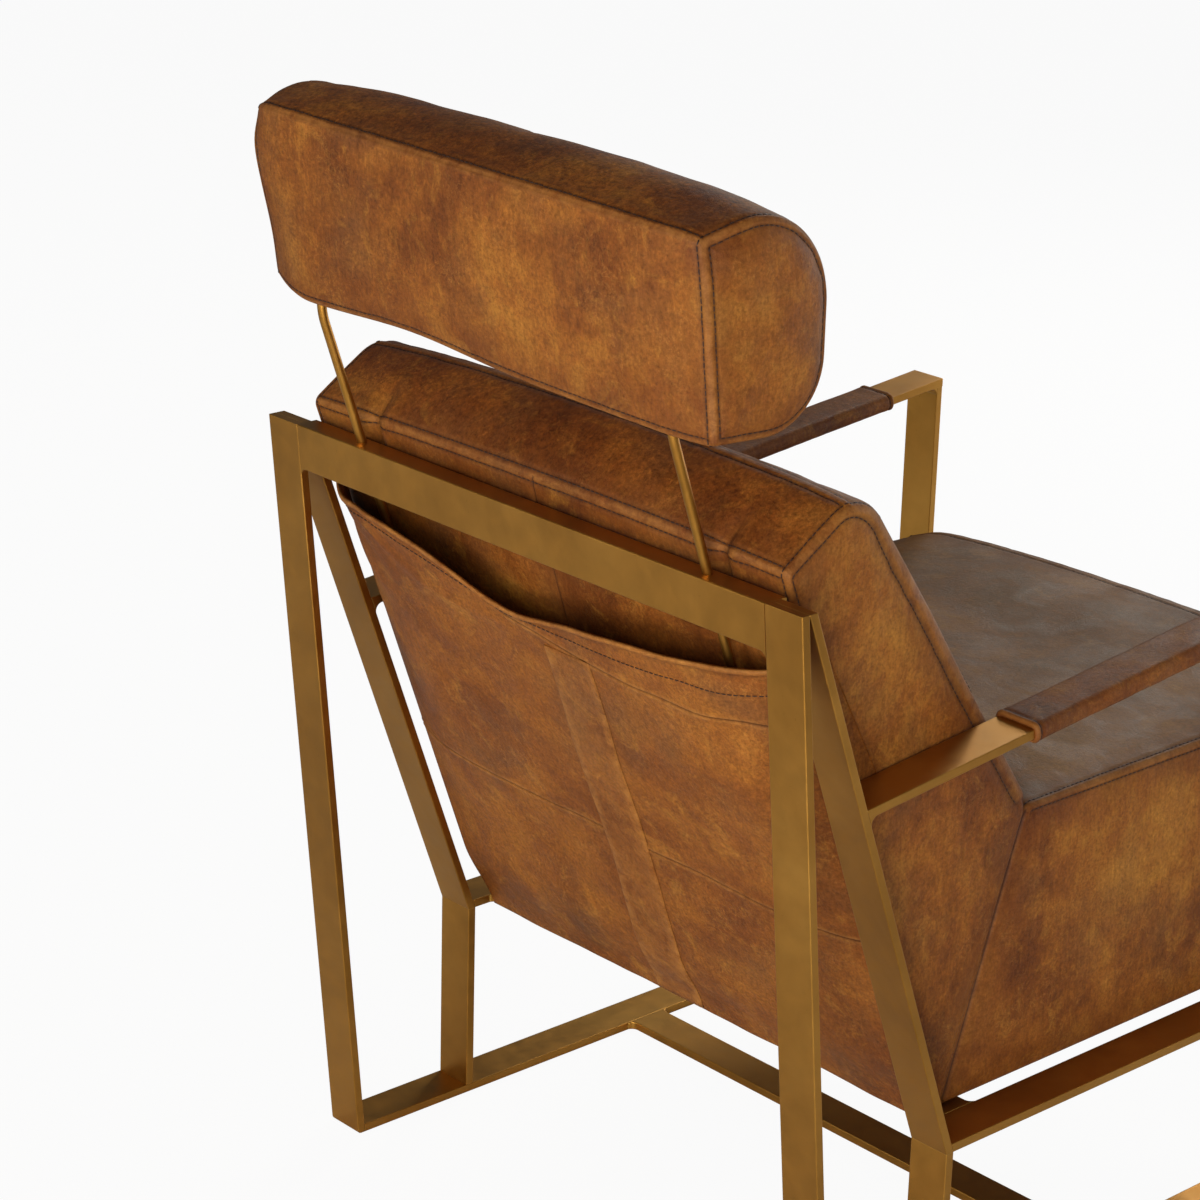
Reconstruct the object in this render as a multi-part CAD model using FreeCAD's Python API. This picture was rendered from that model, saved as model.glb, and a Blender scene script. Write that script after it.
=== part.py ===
import FreeCAD, Part
import math
import os

# Accent chair in millimetres: flat bar frame, leather cushions and a headrest that slides on two rods.
# The front faces -Y, the sitter's left is +X and the floor is z = 0. Until the last section, y = 0 is the
# rear face of the two short vertical legs under the back.

V = FreeCAD.Vector

# Flat bar and overall frame
bar_width = 40.0
bar_thick = 8.0
edge_round = 0.9
weld_round = 7.0
chair_width = 650.0
rear_height = 705.0
rear_top_y = 199.0
rear_foot_y = 131.0
kink_height = 192.5
front_y = -619.0
arm_front_height = 604.0
arm_drop = 5.75
floor_bar_y = -216.0
seat_bar_y = -32.0

# Arm wraps
wrap_side = 3.2
wrap_over = 5.0
wrap_corner = 7.5
wrap_front_bare = 74.0
wrap_length = 486.0

# Webbing under the seat
strap_count = 5
strap_width = 60.0
strap_thick = 2.5

# Gaps left on purpose
cushion_side_gap = 3.0
cushion_gap = 0.7
rod_bar_gap = 0.5
rod_slide_gap = 0.05
rod_fit_gap = 0.4
pocket_gap = 1.2

# Seat cushion
seat_height = 470.0
seat_crown = 16.0
seat_crown_reach = 150.0
seat_shoulder = 46.0
seat_shoulder_inset = 24.0
seat_foot_round = 12.0
seat_front_tuck = 8.0
seat_round = 34.0
seat_draw_in = 5.0

# Back cushion, measured along and square to the inclined back bars
back_rear = 12.0
back_above_frame = 9.0
back_top_thick = 81.0
back_nose = 205.0
back_nose_along = 222.0
back_foot_along = 14.0
back_foot_front = 85.0
back_foot_rear = 33.0
back_nose_below = 12.0
back_nose_above = 24.0
back_rear_crown = 7.0
back_front_crown = 16.0
back_crown_reach = 110.0
back_top_crown = 13.0
back_shoulder = 8.0
back_shoulder_inset = 22.0
back_draw_in = 2.0
back_round = 16.0

# Leather pocket on the rear of the back cushion
pocket_thick = 2.5
pocket_below_bar = 20.0
pocket_sag = 33.0
pocket_belly = 20.0
pocket_belly_share = 0.45
pocket_mouth = 38.0
pocket_power = 6

# Headrest, its rods and what holds them
rod_radius = 4.0
rod_from_side = 71.0
rod_toe = 0.936
rod_above = 117.0
head_raise = 50.0
rod_bend = 60.0
rod_inside = 92.0
head_lift = 114.0
head_lean = 5.8
head_height = 170.0
head_depth = 120.0
head_from_side = 10.0
head_cover = 11.0
head_front_top = 74.0
head_front_foot = 54.0
head_rear_round = 9.0
head_crown = 4.0
head_top_rise = 17.0
head_foot_rise = 3.0
head_end_tuck = 9.0
board_thick = 12.0
head_board_from_end = 37.0
head_board_height = 84.0
clip_width = 30.0
clip_height = 14.0
clip_wall = 2.0
clip_places = (0.3, 0.75)
screw_radius = 2.0
screw_head = 3.6
screw_head_height = 1.6
screw_length = 9.0
back_board_from_side = 52.0
back_board_foot = 140.0
back_board_from_top = 32.0
back_board_depth = 20.0
guide_width = 24.0
guide_height = 40.0
guide_from_top = 164.0
guide_wall = 1.6
guide_screws_apart = 24.0

# Worked out from the sizes above
outer_x = chair_width / 2
inner_x = outer_x - bar_width
cushion_x = inner_x - cushion_side_gap
rod_x = cushion_x - rod_from_side
head_half = cushion_x - head_from_side
post_slope = (rear_top_y - rear_foot_y) / rear_height
post_depth = bar_thick * math.sqrt(1 + post_slope ** 2)
back_slope = (rear_top_y - post_depth) / (rear_height - kink_height)
back_angle = math.degrees(math.atan(back_slope))
back_depth = bar_thick * math.sqrt(1 + back_slope ** 2)
arm_slope = -math.tan(math.radians(arm_drop))
arm_depth = bar_thick * math.sqrt(1 + arm_slope ** 2)
leg_rear = front_y + bar_thick
rail_bottom = kink_height
rail_top = rail_bottom + bar_thick
front_bar_y = leg_rear + bar_width
deck_z = rail_top + strap_thick
back_sin = math.sin(math.radians(back_angle))
back_cos = math.cos(math.radians(back_angle))
cushion_rear = bar_thick + back_rear
back_length = (rear_height - kink_height) / back_cos + back_above_frame
pocket_height = (rear_height - bar_width - kink_height) / back_cos - pocket_below_bar
guide_along = back_length - guide_from_top
rod_lean = back_angle - rod_toe
guide_drop = (rear_height - kink_height - guide_along * back_cos) / math.cos(math.radians(rod_lean))
rod_below = guide_drop + head_raise
quarter = [(math.sin(math.radians(turn)), 1 - math.cos(math.radians(turn))) for turn in (0, 30, 60, 90)]


def unit(vector):
    """The vector at length 1."""
    return vector.multiply(1.0 / vector.Length)


def corner(before, point, after, radius):
    """Start, middle and end of the arc that rounds a corner."""
    a = unit(before - point)
    b = unit(after - point)
    half = a.getAngle(b) / 2
    reach = radius / math.tan(half)
    centre = point + unit(a + b) * (radius / math.sin(half))
    return point + a * reach, centre + unit(point - centre) * radius, point + b * reach


def rounded_wire(points, radii):
    """Closed wire through points, each corner rounded by its own radius."""
    count = len(points)
    arcs = []
    for i in range(count):
        arcs.append(corner(points[i - 1], points[i], points[(i + 1) % count], radii[i]))
    edges = []
    for i in range(count):
        start, middle, end = arcs[i]
        edges.append(Part.Arc(start, middle, end).toShape())
        edges.append(Part.LineSegment(end, arcs[(i + 1) % count][0]).toShape())
    return Part.Wire(edges)


def path_wire(steps):
    """Closed wire of lines through points; a step of two points is an arc by way of the first."""
    edges = []
    last = steps[0]
    for step in steps[1:]:
        if isinstance(step, tuple):
            edges.append(Part.Arc(last, step[0], step[1]).toShape())
            last = step[1]
        else:
            edges.append(Part.LineSegment(last, step).toShape())
            last = step
    edges.append(Part.LineSegment(last, steps[0]).toShape())
    return Part.Wire(edges)


def span(start, middle, end):
    """Edge from start to end by way of middle: an arc, or a line where the three are in line."""
    if middle.distanceToLine(start, end - start) < 0.01:
        return Part.LineSegment(start, end).toShape()
    return Part.Arc(start, middle, end).toShape()


def prism(wire, reach):
    """Solid swept from a closed flat wire."""
    return Part.Face(wire).extrude(reach)


def yz(y, z):
    """Point on the inner side plane of the left frame."""
    return V(inner_x, y, z)


def soften(solid, across):
    """Round the long edges of a bar: those along the chair's width, or those across it."""
    edges = []
    for edge in solid.Edges:
        run = edge.Vertexes[-1].Point - edge.Vertexes[0].Point
        if edge.Curve.TypeId != "Part::GeomLine" or run.Length < 3 * bar_thick:
            continue
        if (abs(run.x) > run.Length / 2) != across:
            edges.append(edge)
    return solid.makeFillet(edge_round, edges)


def side_bar(steps):
    """Bar of the left side frame from its outline in the side plane."""
    return soften(prism(path_wire(steps), V(bar_width, 0, 0)), True)


def mirrored(solid):
    """The same piece on the sitter's right."""
    return solid.mirror(V(0, 0, 0), V(1, 0, 0))


def post_y(z):
    """Rear face of the rear posts."""
    return rear_foot_y + post_slope * z


def back_y(z):
    """Rear face of the inclined back bars."""
    return back_slope * (z - kink_height)


def arm_top(y):
    """Top face of the arms, which rise to the front."""
    return arm_front_height + arm_slope * (y - front_y)


def arm_meets_back(drop):
    """Point on the back bar's front face at a drop below the arm's top face."""
    start = arm_front_height - arm_slope * front_y - drop - kink_height
    y = (back_slope * start - back_depth) / (1 - back_slope * arm_slope)
    return yz(y, arm_top(y) - drop)


def rear_post():
    """Leaning post from the floor to the top of the back."""
    foot_corner = corner(yz(post_y(rear_height), rear_height), yz(rear_foot_y, 0),
                         yz(rear_foot_y - post_depth, 0), bar_thick / 2)
    return side_bar([yz(rear_foot_y - post_depth, 0), foot_corner[2], (foot_corner[1], foot_corner[0]),
                     yz(rear_top_y, rear_height), yz(rear_top_y - post_depth, rear_height)])


def back_bar():
    """Inclined bar that carries the back, from the seat rail up to the rear post."""
    top_y = back_y(rear_height)
    return side_bar([yz(0, kink_height), yz(top_y, rear_height),
                     yz(top_y - back_depth, rear_height), yz(-back_depth, kink_height)])


def lower_leg():
    """Short vertical leg under the inclined bar."""
    return side_bar([yz(0, bar_thick), yz(0, kink_height),
                     yz(-back_depth, kink_height), yz(-back_depth, bar_thick)])


def floor_rail():
    """Runner on the floor from the front leg to the rear post."""
    return side_bar([yz(leg_rear, 0), yz(rear_foot_y - post_depth, 0),
                     yz(post_y(bar_thick) - post_depth, bar_thick), yz(leg_rear, bar_thick)])


def seat_rail():
    """Level bar under the side of the seat."""
    return side_bar([yz(leg_rear, rail_bottom), yz(back_y(rail_bottom) - back_depth, rail_bottom),
                     yz(back_y(rail_top) - back_depth, rail_top), yz(leg_rear, rail_top)])


def front_leg():
    """Upright from the floor to the arm."""
    return side_bar([yz(front_y, 0), yz(leg_rear, 0), yz(leg_rear, arm_top(leg_rear) - arm_depth),
                     yz(front_y, arm_top(front_y) - arm_depth)])


def arm_bar():
    """Arm with a small weld fillet under each end."""
    rear_top = arm_meets_back(0)
    rear_low = arm_meets_back(arm_depth)
    front_low = yz(leg_rear, arm_top(leg_rear) - arm_depth)
    below_rear = rear_low - V(0, back_slope, 1) * bar_width
    below_front = front_low - V(0, 0, bar_width)
    rear_weld = corner(below_rear, rear_low, front_low, weld_round)
    front_weld = corner(rear_low, front_low, below_front, weld_round)
    return side_bar([yz(front_y, arm_top(front_y)), rear_top, rear_weld[0], (rear_weld[1], rear_weld[2]),
                     front_weld[0], (front_weld[1], front_weld[2]), front_low,
                     yz(front_y, arm_top(front_y) - arm_depth)])


def flared_outline(low, high, flare_low, point):
    """Outline of a crossbar between the side frames, with weld fillets where its ends meet them."""
    r = weld_round
    k = r * (1 - math.sqrt(0.5))
    x = inner_x
    steps = [point(-x, high + r), (point(-x + k, high + k), point(-x + r, high)),
             point(x - r, high), (point(x - k, high + k), point(x, high + r))]
    if flare_low:
        steps += [point(x, low - r), (point(x - k, low - k), point(x - r, low)),
                  point(-x + r, low), (point(-x + k, low - k), point(-x, low - r))]
    else:
        steps += [point(x, low), point(-x, low)]
    return path_wire(steps)


def level_crossbar(rear_edge, bottom):
    """Crossbar that lies flat, such as the one on the floor."""
    outline = flared_outline(rear_edge - bar_width, rear_edge, True, lambda x, y: V(x, y, bottom))
    return soften(prism(outline, V(0, 0, bar_thick)), False)


def top_bar():
    """Bar between the tops of the rear posts, in their leaning plane."""
    low = rear_height - bar_width
    outline = flared_outline(-rear_height, -low, False, lambda x, h: V(x, 0, -h))
    block = prism(outline, V(0, 2 * rear_top_y, 0))
    slab = prism(path_wire([V(-inner_x, post_y(0), 0), V(-inner_x, rear_top_y, rear_height),
                            V(-inner_x, rear_top_y - post_depth, rear_height),
                            V(-inner_x, post_y(0) - post_depth, 0)]), V(2 * inner_x, 0, 0))
    return soften(block.common(slab).Solids[0], False)


def leaned(shape):
    """Move a shape from the back's own axes (x, square to the back, along the back) into place."""
    shape.rotate(V(0, 0, 0), V(1, 0, 0), -back_angle)
    shape.translate(V(0, 0, kink_height))
    return shape


def back_point(x, along, forward):
    """Place of a point given along the back and forward of the back bars' rear faces."""
    return V(x, along * back_sin - forward * back_cos, kink_height + along * back_cos + forward * back_sin)


def arm_wrap(arm):
    """Padded leather sleeve round the arm bar."""
    half_x = bar_width / 2 + wrap_side
    half_z = bar_thick / 2 + wrap_over
    points = [V(-half_x, 0, -half_z), V(half_x, 0, -half_z), V(half_x, 0, half_z), V(-half_x, 0, half_z)]
    sleeve = prism(rounded_wire(points, [wrap_corner] * 4), V(0, wrap_length, 0))
    sleeve.rotate(V(0, 0, 0), V(1, 0, 0), -arm_drop)
    start = front_y + wrap_front_bare
    sleeve.translate(V(inner_x + bar_width / 2, start, arm_top(start) - arm_depth / 2))
    return sleeve.cut(arm)


def seat_webbing():
    """Straps from the rear to the front seat crossbar."""
    pitch = 2 * cushion_x / strap_count
    straps = []
    for i in range(strap_count):
        x = -cushion_x + pitch * (i + 0.5) - strap_width / 2
        straps.append(Part.makeBox(strap_width, seat_bar_y - leg_rear, strap_thick, V(x, leg_rear, rail_top)))
    return Part.makeCompound(straps)


def cushion_ring(half_x, rear, front, radius, place, rear_bow, front_bow, side_bow):
    """Closed ring of arcs for one level of a cushion; a bow is how far a side swells past its corners."""
    radius = min(radius, (rear - front) / 3)
    k = radius * (1 - math.sqrt(0.5))
    middle = (rear + front) / 2
    start = place(half_x, rear - radius)
    steps = [(place(half_x - k, rear - k), place(half_x - radius, rear)),
             (place(0, rear + rear_bow), place(-half_x + radius, rear)),
             (place(-half_x + k, rear - k), place(-half_x, rear - radius)),
             (place(-half_x - side_bow, middle), place(-half_x, front + radius)),
             (place(-half_x + k, front + k), place(-half_x + radius, front)),
             (place(0, front - front_bow), place(half_x - radius, front)),
             (place(half_x - k, front + k), place(half_x, front + radius)),
             (place(half_x + side_bow, middle), start)]
    edges = []
    for by_way, end in steps:
        edges.append(span(start, by_way, end))
        start = end
    return Part.Wire(edges)


def back_share(along):
    """Share of the way from the back cushion's foot to its nose, at most 1."""
    return min(1.0, (along - back_foot_along) / (back_nose_along - back_foot_along))


def back_front_line(along):
    """Front of the back cushion at its side seams: out to the nose, then in towards the top."""
    if along < back_nose_along:
        return back_foot_front + (back_nose - back_foot_front) * back_share(along)
    share = (along - back_nose_along) / (back_length - back_nose_along)
    return back_nose + (cushion_rear + back_top_thick - back_nose) * share


def back_rear_line(along):
    """Rear of the back cushion, which draws forward at its foot to pass the rear seat crossbar."""
    return cushion_rear + (back_foot_rear - cushion_rear) * (1 - back_share(along)) ** 2


def back_cushion():
    """Wedge cushion: thin at the top, thickest at the small of the back, cut back above the seat."""
    foot_run = back_nose_along - back_foot_along
    top_start = back_length - back_shoulder
    crown_end = back_nose_along + back_crown_reach
    levels = [(back_foot_along, back_round / 2)]
    levels += [(back_foot_along + foot_run / 4, 0), (back_foot_along + foot_run / 2, 0)]
    levels += [(back_nose_along - back_nose_below, 0), (back_nose_along + back_nose_above, 0)]
    levels += [(crown_end, 0), ((crown_end + top_start) / 2, 0)]
    for rise, inset in quarter:
        levels.append((top_start + (back_shoulder + back_top_crown) * rise, back_shoulder_inset * inset))
    rings = []
    for along, inset in levels:
        crown_share = max(0.0, min(1.0, (along - back_nose_along) / back_crown_reach))
        flat = 1 - inset / back_shoulder_inset
        rear = -back_rear_line(along) - inset
        front = -back_front_line(along) + inset
        rear_bow = back_rear_crown * back_share(along) * flat
        front_bow = back_front_crown * crown_share * flat
        side_bow = -back_draw_in * flat
        rings.append(cushion_ring(cushion_x - inset, rear, front, back_round,
                                  lambda x, y, w=along: V(x, y, w), rear_bow, front_bow, side_bow))
    return leaned(Part.makeLoft(rings, True, True))


def seat_rear_y(z):
    """Rear face of the seat cushion, just clear of the back cushion's foot."""
    low = back_point(0, back_foot_along, back_foot_front + cushion_gap)
    high = back_point(0, back_nose_along, back_nose + cushion_gap)
    return low.y + (high.y - low.y) * (z - low.z) / (high.z - low.z)


def seat_cushion():
    """Deep cushion with a crowned top and sides drawn in between the corners."""
    front = front_y + seat_front_tuck
    top = seat_height - seat_crown
    levels = []
    for rise, inset in quarter:
        levels.append((deck_z + seat_foot_round * inset, seat_foot_round * (1 - rise), rise))
    for rise, inset in quarter:
        levels.append((top - seat_shoulder * (1 - rise), seat_shoulder_inset * inset, 1 - inset))
    crown_run = seat_crown_reach - seat_shoulder_inset
    for share in (1 / 3, 2 / 3, 1):
        levels.append((top + seat_crown * (1 - (1 - share) ** 2), seat_shoulder_inset + crown_run * share, 0))
    rings = []
    for z, inset, draw in levels:
        bow = -seat_draw_in * draw
        rings.append(cushion_ring(cushion_x - inset, seat_rear_y(z) - inset, front + inset, seat_round,
                                  lambda x, y, z=z: V(x, y, z), 0, bow, bow))
    return Part.makeLoft(rings, True, True)


def pocket_section(x):
    """Closed outline of the pocket's leather in the side plane at x."""
    swell = 1 - (abs(x) / cushion_x) ** pocket_power
    top = pocket_height - pocket_sag * (1 - (x / cushion_x) ** 2)
    foot_y = seat_bar_y + pocket_gap / 2 + pocket_thick
    edge = cushion_rear - pocket_gap - pocket_thick
    rear_middle = back_point(x, top * pocket_belly_share, edge - pocket_belly * swell)
    rear_top = back_point(x, top, edge - pocket_mouth * swell)
    ahead = V(0, -pocket_thick * back_cos, pocket_thick * back_sin)
    rear_foot = V(x, foot_y, rail_bottom)
    front_foot = rear_foot + V(0, -pocket_thick, 0)
    front_top = rear_top + ahead
    return path_wire([rear_foot, (rear_middle, rear_top), front_top, (rear_middle + ahead, front_foot)])


def back_pocket():
    """Loose leather panel behind the back cushion: its mouth sags, its foot wraps the rear seat crossbar."""
    stations = [-1.0, -0.86, -0.66, -0.34, 0.0, 0.34, 0.66, 0.86, 1.0]
    return Part.makeLoft([pocket_section(s * cushion_x) for s in stations], True, False)


def rod_axis():
    """Unit vector along the sliding part of a rod."""
    lean = math.radians(rod_lean)
    return V(0, math.sin(lean), math.cos(lean))


def rod_point(x, reach):
    """Point on a rod's axis, measured up along it from the top of the rear frame."""
    start_y = rear_top_y - post_depth - rod_bar_gap - rod_radius / math.cos(math.radians(rod_lean))
    return V(x, start_y, rear_height) + rod_axis() * reach


def head_axis():
    """Unit vector up the headrest's flat rear panel."""
    lean = math.radians(head_lean)
    return V(0, math.sin(lean), math.cos(lean))


def rod_bend_points(x):
    """Start, middle and end of a rod's bend, and the end of the rod."""
    start = rod_point(x, rod_above)
    first = math.radians(rod_lean)
    last = math.radians(head_lean)
    between = (first + last) / 2
    centre = start + V(0, -math.cos(first), math.sin(first)) * rod_bend
    middle = centre - V(0, -math.cos(between), math.sin(between)) * rod_bend
    end = centre - V(0, -math.cos(last), math.sin(last)) * rod_bend
    return start, middle, end, end + head_axis() * rod_inside


def headrest_rod(x, radius=rod_radius):
    """Round rod: straight where it slides, bent to follow the headrest's rear panel inside it."""
    low = rod_point(x, -rod_below)
    start, middle, end, top = rod_bend_points(x)
    path = Part.Wire([Part.LineSegment(low, start).toShape(), Part.Arc(start, middle, end).toShape(),
                      Part.LineSegment(end, top).toShape()])
    ring = Part.Wire([Part.makeCircle(radius, low, rod_axis())])
    return path.makePipeShell([ring], True, False)


def on_head(x, up, forward):
    """Point in the headrest, from the end of a rod's bend: up its rear panel and square to it."""
    base = rod_bend_points(x)[2]
    lean = math.radians(head_lean)
    return base + head_axis() * up + V(0, -math.cos(lean), math.sin(lean)) * forward


def head_block(x, width, low, high, back, front):
    """Block set out in the headrest's own directions: across, up its rear panel and square to it."""
    outline = [on_head(x, low, back), on_head(x, high, back), on_head(x, high, front), on_head(x, low, front)]
    half = V(width / 2, 0, 0)
    return prism(path_wire([point - half for point in outline]), half * 2)


def headrest_board():
    """Board in front of the rods' upper ends."""
    low = (rod_inside - head_board_height) / 2
    high = low + head_board_height
    length = 2 * (head_half - head_board_from_end)
    return head_block(0, length, low, high, rod_radius, rod_radius + board_thick)


def screw(seat, direction):
    """Screw with its head resting at seat, pointing along direction."""
    shank = Part.makeCylinder(screw_radius, screw_length, seat, direction)
    head = Part.makeCylinder(screw_head, screw_head_height, seat - direction * screw_head_height, direction)
    return shank.fuse(head).removeSplitter()


def clip_blocks():
    """Outer form of each saddle clip, with the centre of its rear face."""
    back = -rod_radius - clip_wall
    blocks = []
    for x in (rod_x, -rod_x):
        for share in clip_places:
            low = rod_inside * share - clip_height / 2
            block = head_block(x, clip_width, low, low + clip_height, back, rod_radius)
            blocks.append((block, on_head(x, low + clip_height / 2, back)))
    return blocks


def rod_slot(x, gap):
    """Straight slot round a rod's upper end, open to the board."""
    reach = rod_radius + gap
    return head_block(x, 2 * reach, 0, rod_inside + gap, -reach, rod_radius)


def head_fixings():
    """Saddle clips over the rods, and the screws that hold them to the board."""
    ahead = on_head(0, 0, 1) - on_head(0, 0, 0)
    apart = V((rod_radius + clip_width / 2) / 2, 0, 0)
    clips = []
    screws = []
    for block, centre in clip_blocks():
        clip = block.cut(rod_slot(rod_x, rod_fit_gap)).cut(rod_slot(-rod_x, rod_fit_gap))
        for seat in (centre - apart, centre + apart):
            screws.append(screw(seat, ahead))
            clip = clip.cut(screws[-1])
        clips.append(clip)
    return clips, screws


def head_hollow(screws):
    """What the headrest's filling leaves free for the board, the rods and their fixings."""
    solids = [headrest_board()]
    for x in (rod_x, -rod_x):
        solids.append(headrest_rod(x, rod_radius + rod_fit_gap))
        solids.append(rod_slot(x, 2 * rod_fit_gap))
    return solids + [block for block, centre in clip_blocks()] + screws


def head_outline(x, inset):
    """Side outline of the headrest: flat behind, round in front."""
    lean = math.radians(head_lean)
    foot = rod_point(x, head_lift / math.cos(math.radians(rod_lean)))
    rear_foot = V(x, foot.y + head_cover, rear_height + head_lift)
    rear_top = rear_foot + head_axis() * head_height
    front_y_line = rear_foot.y + head_height * math.sin(lean) / 2 - head_depth
    points = [rear_foot + V(0, -inset, inset), rear_top + V(0, -inset, -inset),
              V(x, front_y_line + inset, rear_top.z + head_top_rise - inset),
              V(x, front_y_line + inset, rear_foot.z + head_foot_rise + inset)]
    return rounded_wire(points, [head_rear_round, head_rear_round, head_front_top, head_front_foot])


def headrest_cushion():
    """Bolster with a flat rear panel, a round front, a slight crown and tucked ends."""
    stations = []
    for reach, inset in quarter[::-1]:
        stations.append((head_half - head_end_tuck * (1 - reach), head_end_tuck * inset))
    for share in (0.8, 0.6, 0.4, 0.2, 0.0):
        stations.append((head_half * share, -head_crown * (1 - share ** 2)))
    stations = [(-x, inset) for x, inset in stations[:-1]] + stations[::-1]
    return Part.makeLoft([head_outline(x, inset) for x, inset in stations], True, True)


def back_board():
    """Board inside the back cushion, behind its filling."""
    front = cushion_rear + back_board_depth
    half = cushion_x - back_board_from_side
    height = back_length - back_board_from_top - back_board_foot
    return leaned(Part.makeBox(2 * half, board_thick, height, V(-half, -front, back_board_foot)))


def guide_forward():
    """How far the rod's axis lies forward of the back bars' rear faces at the guides."""
    at_guide = rod_point(0, -guide_drop)
    return -at_guide.y * back_cos + (at_guide.z - kink_height) * back_sin


def guide_outer(x):
    """Outer form of a guide block, on the rear of the back board."""
    rear = guide_forward() - rod_radius - guide_wall
    front = cushion_rear + back_board_depth - board_thick
    corner_point = V(x - guide_width / 2, -front, guide_along)
    return leaned(Part.makeBox(guide_width, front - rear, guide_height, corner_point))


def guide_block(x, screws):
    """Block in which a rod slides."""
    bore_radius = rod_radius + rod_slide_gap
    bore = Part.makeCylinder(bore_radius, 2 * guide_drop, rod_point(x, -2 * guide_drop), rod_axis())
    block = guide_outer(x).cut(bore)
    for fixing in screws:
        block = block.cut(fixing)
    return block


def guide_screws():
    """Two screws from the front of the back board into each guide block."""
    behind = back_point(0, 0, 0) - back_point(0, 0, 1)
    front = cushion_rear + back_board_depth
    screws = []
    for side in (1, -1):
        for shift in (-1, 1):
            along = guide_along + guide_height / 2 + shift * guide_screws_apart / 2
            x = side * rod_x + shift * (rod_radius + guide_width / 2) / 2
            screws.append(screw(back_point(x, along, front), behind))
    return screws


def build():
    """Every node of the chair by name."""
    nodes = {}
    sides = {"rear_post": rear_post, "back_bar": back_bar, "lower_leg": lower_leg, "floor_rail": floor_rail,
             "seat_rail": seat_rail, "front_leg": front_leg, "arm_bar": arm_bar}
    for name, make in sides.items():
        nodes[name + "_left"] = make()
        nodes[name + "_right"] = mirrored(nodes[name + "_left"])
    nodes["arm_wrap_left"] = arm_wrap(nodes["arm_bar_left"])
    nodes["arm_wrap_right"] = mirrored(nodes["arm_wrap_left"])
    nodes["top_bar"] = top_bar()
    nodes["floor_crossbar"] = level_crossbar(floor_bar_y, 0)
    nodes["seat_rear_crossbar"] = level_crossbar(seat_bar_y, rail_bottom)
    nodes["seat_front_crossbar"] = level_crossbar(front_bar_y, rail_bottom)
    nodes["seat_webbing"] = seat_webbing()
    nodes["seat_cushion"] = seat_cushion()

    screws = guide_screws()
    nodes["guide_screws"] = Part.makeCompound(screws)
    nodes["guide_block_left"] = guide_block(rod_x, screws)
    nodes["guide_block_right"] = guide_block(-rod_x, screws)
    board = back_board()
    cushion = back_cushion().cut(board).cut(guide_outer(rod_x)).cut(guide_outer(-rod_x))
    for fixing in screws:
        board = board.cut(fixing)
        cushion = cushion.cut(fixing)
    nodes["back_board"] = board
    nodes["back_cushion"] = cushion
    nodes["back_pocket"] = back_pocket()

    nodes["headrest_rod_left"] = headrest_rod(rod_x)
    nodes["headrest_rod_right"] = headrest_rod(-rod_x)
    clips, head_screws = head_fixings()
    nodes["rod_clips"] = Part.makeCompound(clips)
    nodes["clip_screws"] = Part.makeCompound(head_screws)
    head_board = headrest_board()
    for fixing in head_screws:
        head_board = head_board.cut(fixing)
    nodes["headrest_board"] = head_board
    bolster = headrest_cushion()
    for solid in head_hollow(head_screws):
        bolster = bolster.cut(solid)
    nodes["headrest_cushion"] = bolster
    return nodes


def export(nodes):
    """Centre the chair on the origin, front to back, and write one file per node."""
    whole = Part.makeCompound(list(nodes.values())).optimalBoundingBox(False)
    shift = V(0, -(whole.YMin + whole.YMax) / 2, 0)
    os.makedirs("parts", exist_ok=True)
    for name, shape in nodes.items():
        shape.translate(shift)
        shape.exportStep("parts/" + name + ".step")
    print("shift in y %.3f, box %.1f x %.1f x %.1f" % (shift.y, whole.XLength, whole.YLength, whole.ZLength))


export(build())
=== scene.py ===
import math

import bpy
import numpy as np
from mathutils import Matrix, Vector, noise


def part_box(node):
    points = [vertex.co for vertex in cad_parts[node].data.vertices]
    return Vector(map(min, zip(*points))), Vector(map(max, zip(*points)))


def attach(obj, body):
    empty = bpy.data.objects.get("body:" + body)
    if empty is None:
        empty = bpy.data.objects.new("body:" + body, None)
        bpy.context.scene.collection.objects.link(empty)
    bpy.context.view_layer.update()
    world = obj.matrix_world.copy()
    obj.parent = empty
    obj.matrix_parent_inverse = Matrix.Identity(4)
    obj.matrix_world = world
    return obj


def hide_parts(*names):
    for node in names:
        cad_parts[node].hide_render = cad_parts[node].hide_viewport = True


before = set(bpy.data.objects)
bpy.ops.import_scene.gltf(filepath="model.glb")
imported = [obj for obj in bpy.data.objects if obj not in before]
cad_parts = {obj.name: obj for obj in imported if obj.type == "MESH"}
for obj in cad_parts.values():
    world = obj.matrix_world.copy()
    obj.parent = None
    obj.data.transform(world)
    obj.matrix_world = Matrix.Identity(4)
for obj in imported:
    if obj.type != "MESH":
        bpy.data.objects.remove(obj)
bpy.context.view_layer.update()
scene = bpy.context.scene

# Lengths in the tables below are in millimetres. The chair's drawing frame has y = 0 at the rear face of
# the short vertical legs; y_shift brings it to the shared frame.
mm = 0.001
y_shift = 180.518
kink_height = 192.5
back_angle = math.radians(20.436)
back_sin = math.sin(back_angle)
back_cos = math.cos(back_angle)
inner_x = 285.0
rod_x = 211.0

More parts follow.
